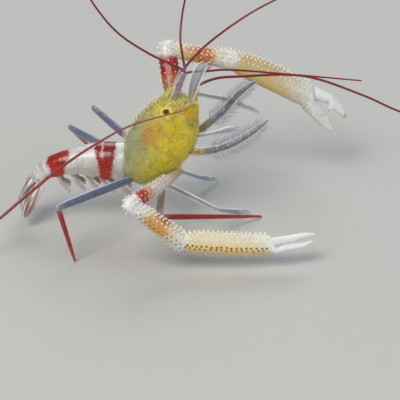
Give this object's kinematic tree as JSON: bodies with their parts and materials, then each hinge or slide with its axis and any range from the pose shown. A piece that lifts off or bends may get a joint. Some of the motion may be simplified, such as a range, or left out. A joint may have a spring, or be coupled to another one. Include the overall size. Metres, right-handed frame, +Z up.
{
  "type": "cleaner shrimp",
  "caption": "Spiny boxer shrimp standing on slender legs, both long claws held out, head raised, banded tail arched down, feelers spread.",
  "frame": {"origin": "on the floor, under the middle of the whole animal's box, feelers included", "axes": "+X the way the head points, +Y the animal's left side, +Z up"},
  "size_m": [0.1102, 0.0556, 0.0581],
  "materials": {
    "carapace_shell": "satin, thickly set with small spines",
    "abdomen_white": "satin shell, chalk white",
    "abdomen_red": "satin shell, red band",
    "tail_fan": "thin, half clear",
    "claw_shell": "satin shell, cream with orange patches",
    "finger_shell": "smooth white shell",
    "leg_upper": "clear, slate blue",
    "leg_lower": "satin red",
    "leg_clear": "glass clear with pale edges",
    "mouth_limb": "clear violet grey with hair fringes",
    "feeler_stalk": "clear grey",
    "feeler": "satin, dark red",
    "eye": "wet black with a pale ring"
  },
  "bodies": {
    "root": {"carapace": "carapace_shell", "eye_left": "eye", "eye_right": "eye", "abdomen_1": "abdomen_white", "abdomen_2": "abdomen_red", "abdomen_3": "abdomen_white", "abdomen_4": "abdomen_white", "abdomen_5": "abdomen_red", "abdomen_6": "abdomen_white", "telson": "tail_fan", "uropod_inner_left": "tail_fan", "uropod_outer_left": "tail_fan", "uropod_inner_right": "tail_fan", "uropod_outer_right": "tail_fan", "swimmeret_left_1": "leg_clear", "swimmeret_right_1": "leg_clear", "swimmeret_left_2": "leg_clear", "swimmeret_right_2": "leg_clear", "swimmeret_left_3": "leg_clear", "swimmeret_right_3": "leg_clear", "swimmeret_left_4": "leg_clear", "swimmeret_right_4": "leg_clear", "swimmeret_left_5": "leg_clear", "swimmeret_right_5": "leg_clear", "antennule_left": "feeler_stalk", "antenna_left": "carapace_shell", "antenna_scale_left": "feeler_stalk", "antennule_right": "feeler_stalk", "antenna_right": "carapace_shell", "antenna_scale_right": "feeler_stalk", "antennule_whip_right_outer": "feeler", "antennule_whip_right_inner": "feeler", "antennule_whip_left_outer": "feeler", "antennule_whip_left_inner": "feeler", "antenna_whip_left": "feeler", "antenna_whip_right": "feeler", "maxilliped_right": "mouth_limb", "maxilliped_left": "mouth_limb", "leg_right_1": "leg_clear", "leg_left_1": "leg_clear", "leg_right_2": "leg_clear", "leg_left_2": "leg_clear", "arm_right_merus": "claw_shell", "arm_right_carpus": "claw_shell", "arm_right_palm": "claw_shell", "arm_right_finger": "finger_shell", "arm_left_merus": "claw_shell", "arm_left_carpus": "claw_shell", "arm_left_palm": "claw_shell", "arm_left_finger": "finger_shell", "leg_right_4_upper": "leg_upper", "leg_right_4_lower": "leg_lower", "leg_left_4_upper": "leg_upper", "leg_left_4_lower": "leg_lower", "leg_right_5_upper": "leg_upper", "leg_right_5_lower": "leg_lower", "leg_left_5_upper": "leg_upper", "leg_left_5_lower": "leg_lower"}
  },
  "joints": []
}
